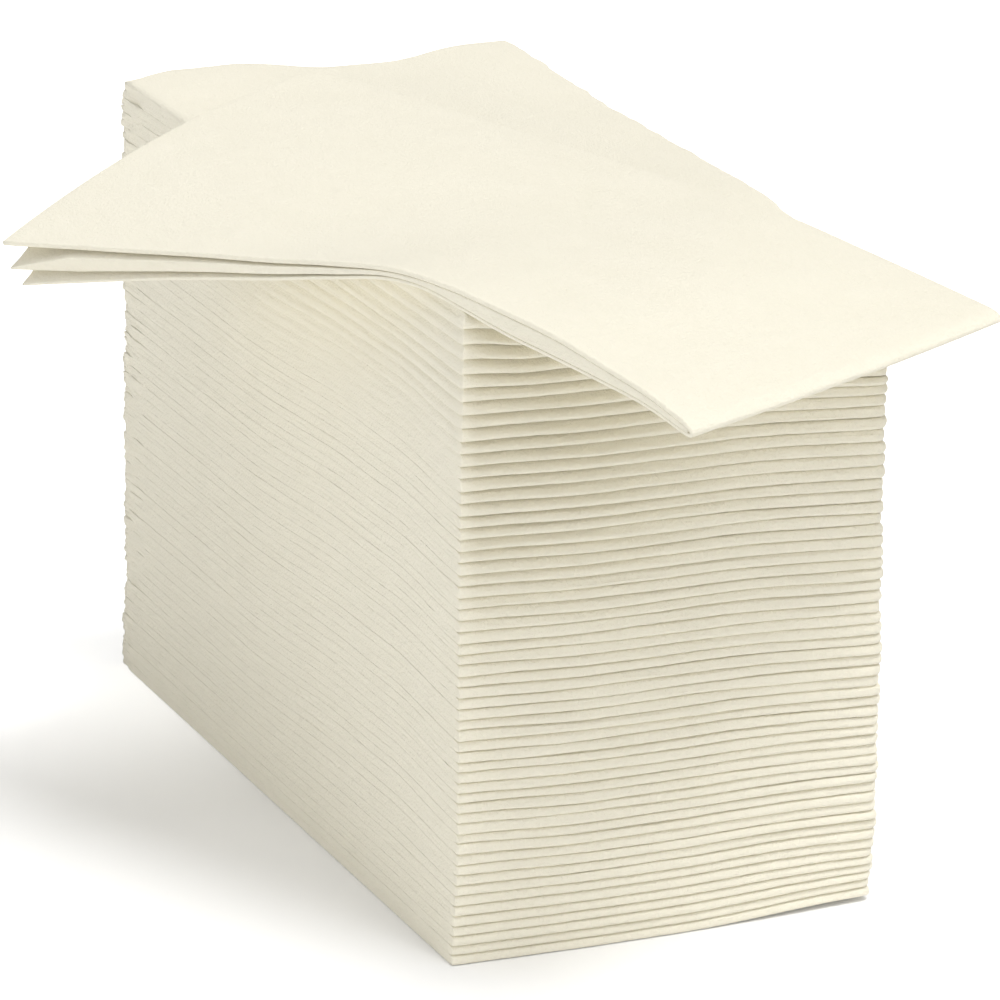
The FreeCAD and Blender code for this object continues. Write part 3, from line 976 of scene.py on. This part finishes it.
@dataclass
class CrossingNapkin:
    """The folded napkin that lies askew over the stack, its leaves fanned at the open end."""

    stack_top: float
    width: float = 102.0
    length: float = 213.0
    leaf: float = 1.3
    under_leaf: float = 0.78
    filled: float = 92.0
    columns: int = 44
    rows: int = 90
    turn: float = math.radians(23.1)
    spine_x: float = 21.8
    spine_y: float = -147.2
    near: Stations = (
        (0, -11.0), (14, -5.8), (26, -2.7), (37, 0.1), (55, 3.1), (70, 5.1), (85, 5.8),
        (107, 3.1), (125, 0.0), (148, -3.5), (171, -7.3), (194, -11.0), (213, -14.1),
    )
    middle: Stations = (
        (0, -9.6), (22, -3.8), (45, 1.4), (65, 3.6), (85, 4.5), (118, 5.4), (150, 6.0),
        (182, 4.6), (213, 2.0),
    )
    far: Stations = (
        (0, -6.8), (20, -3.6), (40, -0.6), (66, 3.0), (90, 4.1), (120, 5.4), (150, 6.6),
        (180, 8.0), (213, 9.0),
    )
    part_upper: Stations = (
        (0, 0.05), (14, 0.6), (26, 1.4), (38, 2.4), (54, 2.5), (66, 1.6), (78, 0.3), (88, 0.12),
        (107, 0.8), (132, 1.6), (172, 3.0), (194, 4.0), (213, 4.8),
    )
    part_lower: Stations = (
        (0, 0.05), (40, 0.15), (60, 0.15), (85, 0.08), (107, 0.5), (132, 1.0), (172, 1.9),
        (194, 2.6), (213, 3.3),
    )
    part_reach: float = 9.0
    slack_upper: float = 0.12
    slack_lower: float = 0.08
    bend_reach: float = 4.0
    bend_turns: int = 12
    lower_short: float = 7.0
    inner_in: float = 0.45
    inner_start: float = 2.0
    inner_short: float = 3.0
    inner_clear: float = 0.04
    parting_run: float = 12.0
    tip_from: float = 24.0
    tip_run: float = 20.0

    def top(self, u: np.ndarray, v: np.ndarray) -> np.ndarray:
        """Height of the upper face over the stack's top.

        Args:
            u: places across, from the near side.
            v: places along, from the spine.

        Returns:
            The heights in millimetres.
        """
        share = u / self.width
        first = through(self.near, v)
        second = through(self.middle, v)
        third = through(self.far, v)
        low = first + (second - first) * 2 * share
        high = second + (third - second) * (2 * share - 1)
        return low + (high - low) * share

    def gaps(self, u: np.ndarray, v: np.ndarray) -> tuple[np.ndarray, np.ndarray]:
        """Clear heights between the leaves.

        Args:
            u: places across, from the near side.
            v: places along, from the spine.

        Returns:
            The heights under the upper and the middle leaf.
        """
        fade = np.exp(-((u / self.part_reach) ** 2))
        upper = self.slack_upper + fade * through(self.part_upper, v)
        lower = self.slack_lower + fade * through(self.part_lower, v)
        return upper, lower

    def placed(self, points: np.ndarray) -> np.ndarray:
        """Lay points of the napkin over the stack.

        Args:
            points: across, along and over the stack's top.

        Returns:
            The points in the part's frame, in millimetres.
        """
        u, v, z = points[:, 0] - self.width / 2, points[:, 1], points[:, 2]
        sine, cosine = math.sin(self.turn), math.cos(self.turn)
        x = self.spine_x + u * cosine - v * sine
        y = self.spine_y + u * sine + v * cosine
        return np.column_stack([x, y, z + self.stack_top])

    def hairpin(self) -> Leaf:
        """The outer sheet: the upper leaf, round the spine, and the lower leaf.

        Returns:
            The sheet.
        """
        us = np.linspace(self.leaf / 2, self.width - self.leaf / 2, self.columns)
        upper_v = np.linspace(self.length - self.leaf / 2, self.bend_reach, self.rows)
        lower_v = np.linspace(self.bend_reach, self.length - self.lower_short, self.rows)
        rows = []
        thick = []
        for v in upper_v:
            vs = np.full_like(us, v)
            rows.append(np.column_stack([us, vs, self.top(us, vs) - self.leaf / 2]))
            thick.append(np.full_like(us, self.leaf))
        spine_v = np.full_like(us, self.bend_reach)
        gap_upper, gap_lower = self.gaps(us, spine_v)
        high = self.top(us, spine_v) - self.leaf / 2
        low = high - self.leaf / 2 - self.under_leaf * 1.5 - gap_upper - gap_lower
        slope = (self.top(us, spine_v + 3) - self.top(us, spine_v)) / 3
        centre = (high + low) / 2
        radius = (high - low) / 2
        reach = self.bend_reach - self.leaf / 2
        for turn in range(1, self.bend_turns):
            angle = math.pi * turn / self.bend_turns
            sheet = self.leaf + (self.under_leaf - self.leaf) * turn / self.bend_turns
            thick.append(np.full_like(us, sheet))
            v = self.bend_reach - reach * math.sin(angle)
            z = centre + radius * math.cos(angle) - slope * reach * math.sin(angle)
            rows.append(np.column_stack([us, np.full_like(us, v), z]))
        for v in lower_v:
            vs = np.full_like(us, v)
            gap_upper, gap_lower = self.gaps(us, vs)
            z = self.top(us, vs) - self.leaf - self.under_leaf * 1.5 - gap_upper - gap_lower
            rows.append(np.column_stack([us, vs, z]))
            thick.append(np.full_like(us, self.under_leaf))
        return Leaf(np.array(rows), np.array(thick))

    def inner(self) -> Leaf:
        """The middle leaf, between the other two. It fills them out where they lie closed.

        Returns:
            The sheet.
        """
        us = np.linspace(self.inner_in, self.width - self.inner_in, self.columns)
        vs = np.linspace(self.length - self.inner_short, self.inner_start, self.rows)
        rows = []
        thick = []
        for v in vs:
            at = np.full_like(us, v)
            gap_upper, gap_lower = self.gaps(us, at)
            parted = min(max((v - self.filled) / self.parting_run + 1.0, 0.0), 1.0)
            tip = min(max((v - self.length + self.tip_from) / self.tip_run, 0.0), 1.0)
            above = np.maximum(gap_upper - self.inner_clear, 0.0) * (1.0 - 0.4 * parted) * (1.0 - tip)
            below = np.maximum(gap_lower - self.inner_clear, 0.0) * (1.0 - 0.7 * parted) * (1.0 - tip)
            sheet = self.under_leaf + above + below
            face = self.top(us, at) - self.leaf - gap_upper + above
            rows.append(np.column_stack([us, at, face - sheet / 2]))
            thick.append(sheet)
        return Leaf(np.array(rows), np.array(thick), rim=0.2)

    def build(self, paper: bpy.types.Material) -> bpy.types.Object:
        """Build and dress the crossing napkin.

        Args:
            paper: its material.

        Returns:
            The finished piece.
        """
        points: list[np.ndarray] = []
        flats: list[np.ndarray] = []
        faces: list[tuple[int, ...]] = []
        for leaf in (self.hairpin(), self.inner()):
            own_points, own_faces = leaf.shell()
            flats.append(own_points * MM)
            start = sum(len(part) for part in points)
            points.append(self.placed(own_points))
            faces += [tuple(start + v for v in one) for one in own_faces]
        mesh = bpy.data.meshes.new("crossing_napkin")
        mesh.from_pydata((np.vstack(points) * MM).tolist(), [], faces)
        mesh.polygons.foreach_set("use_smooth", [True] * len(mesh.polygons))
        flat = mesh.attributes.new("flat", "FLOAT_VECTOR", "POINT")
        flat.data.foreach_set("vector", np.vstack(flats).ravel())
        mesh.materials.append(paper)
        mesh.update()
        piece = bpy.data.objects.new("crossing_napkin", mesh)
        bpy.context.scene.collection.objects.link(piece)
        hand_over(piece, "top_napkin")
        return piece


# The studio
@dataclass
class Studio:
    """A white floor, soft lamps from the right and above, and the camera."""

    lens: float = 228.9
    camera_place: tuple[float, float, float] = (-0.56978, -1.30622, 0.53534)
    heading: float = -0.4144
    pitch: float = 1.2548
    roll: float = 0.0140
    aim_height: float = 0.07
    floor_side: float = 40.0
    floor_drop: float = 0.0002
    room_light: float = 0.33

    def camera(self) -> None:
        """Set up the camera."""
        data = bpy.data.cameras.new("camera")
        data.lens = self.lens
        data.sensor_width = 36.0
        data.clip_start = 0.1
        data.clip_end = 50.0
        camera = bpy.data.objects.new("camera", data)
        camera.matrix_world = (
            Matrix.Translation(Vector(self.camera_place))
            @ Matrix.Rotation(self.heading, 4, "Z")
            @ Matrix.Rotation(self.pitch, 4, "X")
            @ Matrix.Rotation(self.roll, 4, "Z")
        )
        bpy.context.scene.collection.objects.link(camera)
        bpy.context.scene.camera = camera

    def lamp(
        self,
        name: str,
        place: tuple[float, float, float],
        size: float,
        power: float,
    ) -> None:
        """Hang one square soft lamp that faces the stack.

        Args:
            name: its name.
            place: where it hangs, in metres.
            size: its side in metres.
            power: its strength in watts.
        """
        data = bpy.data.lights.new(name, "AREA")
        data.size = size
        data.energy = power
        lamp = bpy.data.objects.new(name, data)
        away = Vector(place) - Vector((0.0, 0.0, self.aim_height))
        turned = away.to_track_quat("Z", "Y").to_matrix().to_4x4()
        lamp.matrix_world = Matrix.Translation(Vector(place)) @ turned
        bpy.context.scene.collection.objects.link(lamp)

    def sun(
        self,
        name: str,
        towards: tuple[float, float, float],
        spread: float,
        strength: float,
    ) -> None:
        """Set up a light that is even over the whole floor.

        Args:
            name: its name.
            towards: the direction that it comes from.
            spread: how wide it looks, in degrees; wide makes the shadows soft.
            strength: its strength in watts per square metre.
        """
        data = bpy.data.lights.new(name, "SUN")
        data.angle = math.radians(spread)
        data.energy = strength
        lamp = bpy.data.objects.new(name, data)
        lamp.matrix_world = Vector(towards).to_track_quat("Z", "Y").to_matrix().to_4x4()
        bpy.context.scene.collection.objects.link(lamp)

    def floor(self) -> None:
        """Lay the floor."""
        mesh = bpy.data.meshes.new("floor")
        signs = ((-1, -1), (1, -1), (1, 1), (-1, 1))
        corners = [(x * self.floor_side, y * self.floor_side, -self.floor_drop) for x, y in signs]
        mesh.from_pydata(corners, [], [(0, 1, 2, 3)])
        # the floor's material paints light towards the back that fades the shadow there
        mesh.materials.append(FloorFinishAndPaintedLight().material())
        floor = bpy.data.objects.new("floor", mesh)
        bpy.context.scene.collection.objects.link(floor)

    def build(self) -> None:
        """Set up the whole studio."""
        self.camera()
        self.floor()
        self.sun("key", (0.18, -0.26, 0.95), 17.0, 1.51)
        self.sun("wide_key", (0.1, -0.6, 0.8), 80.0, 1.16)
        self.lamp("left_fill", (-2.4, -0.5, 0.28), 1.2, 14.0)
        world = bpy.data.worlds.new("white_room")
        bpy.context.scene.world = world
        world.use_nodes = True
        graph = Graph(world.node_tree)
        back = world.node_tree.nodes["Background"]
        back.inputs["Color"].default_value = (1.0, 1.0, 1.0, 1.0)
        path = graph.node("ShaderNodeLightPath")
        seen = graph.value(path.outputs["Is Camera Ray"])
        strength = seen * (1.0 - self.room_light) + self.room_light
        graph.link(strength.socket, back.inputs["Strength"])
        bpy.context.scene.view_settings.view_transform = "Standard"


def main() -> None:
    """Build the stack, the crossing napkin and the studio, and log the count of stacked napkins."""
    logging.basicConfig(level=logging.INFO, format="%(message)s")
    paper = PaperFinish().material()
    pile = Pile()
    pieces = pile.build(paper)
    LOG.info("%d stacked napkins", len(pieces))
    CrossingNapkin(stack_top=pile.underside(pile.count + 1)).build(paper)
    Studio().build()


if __name__ == "__main__":
    main()
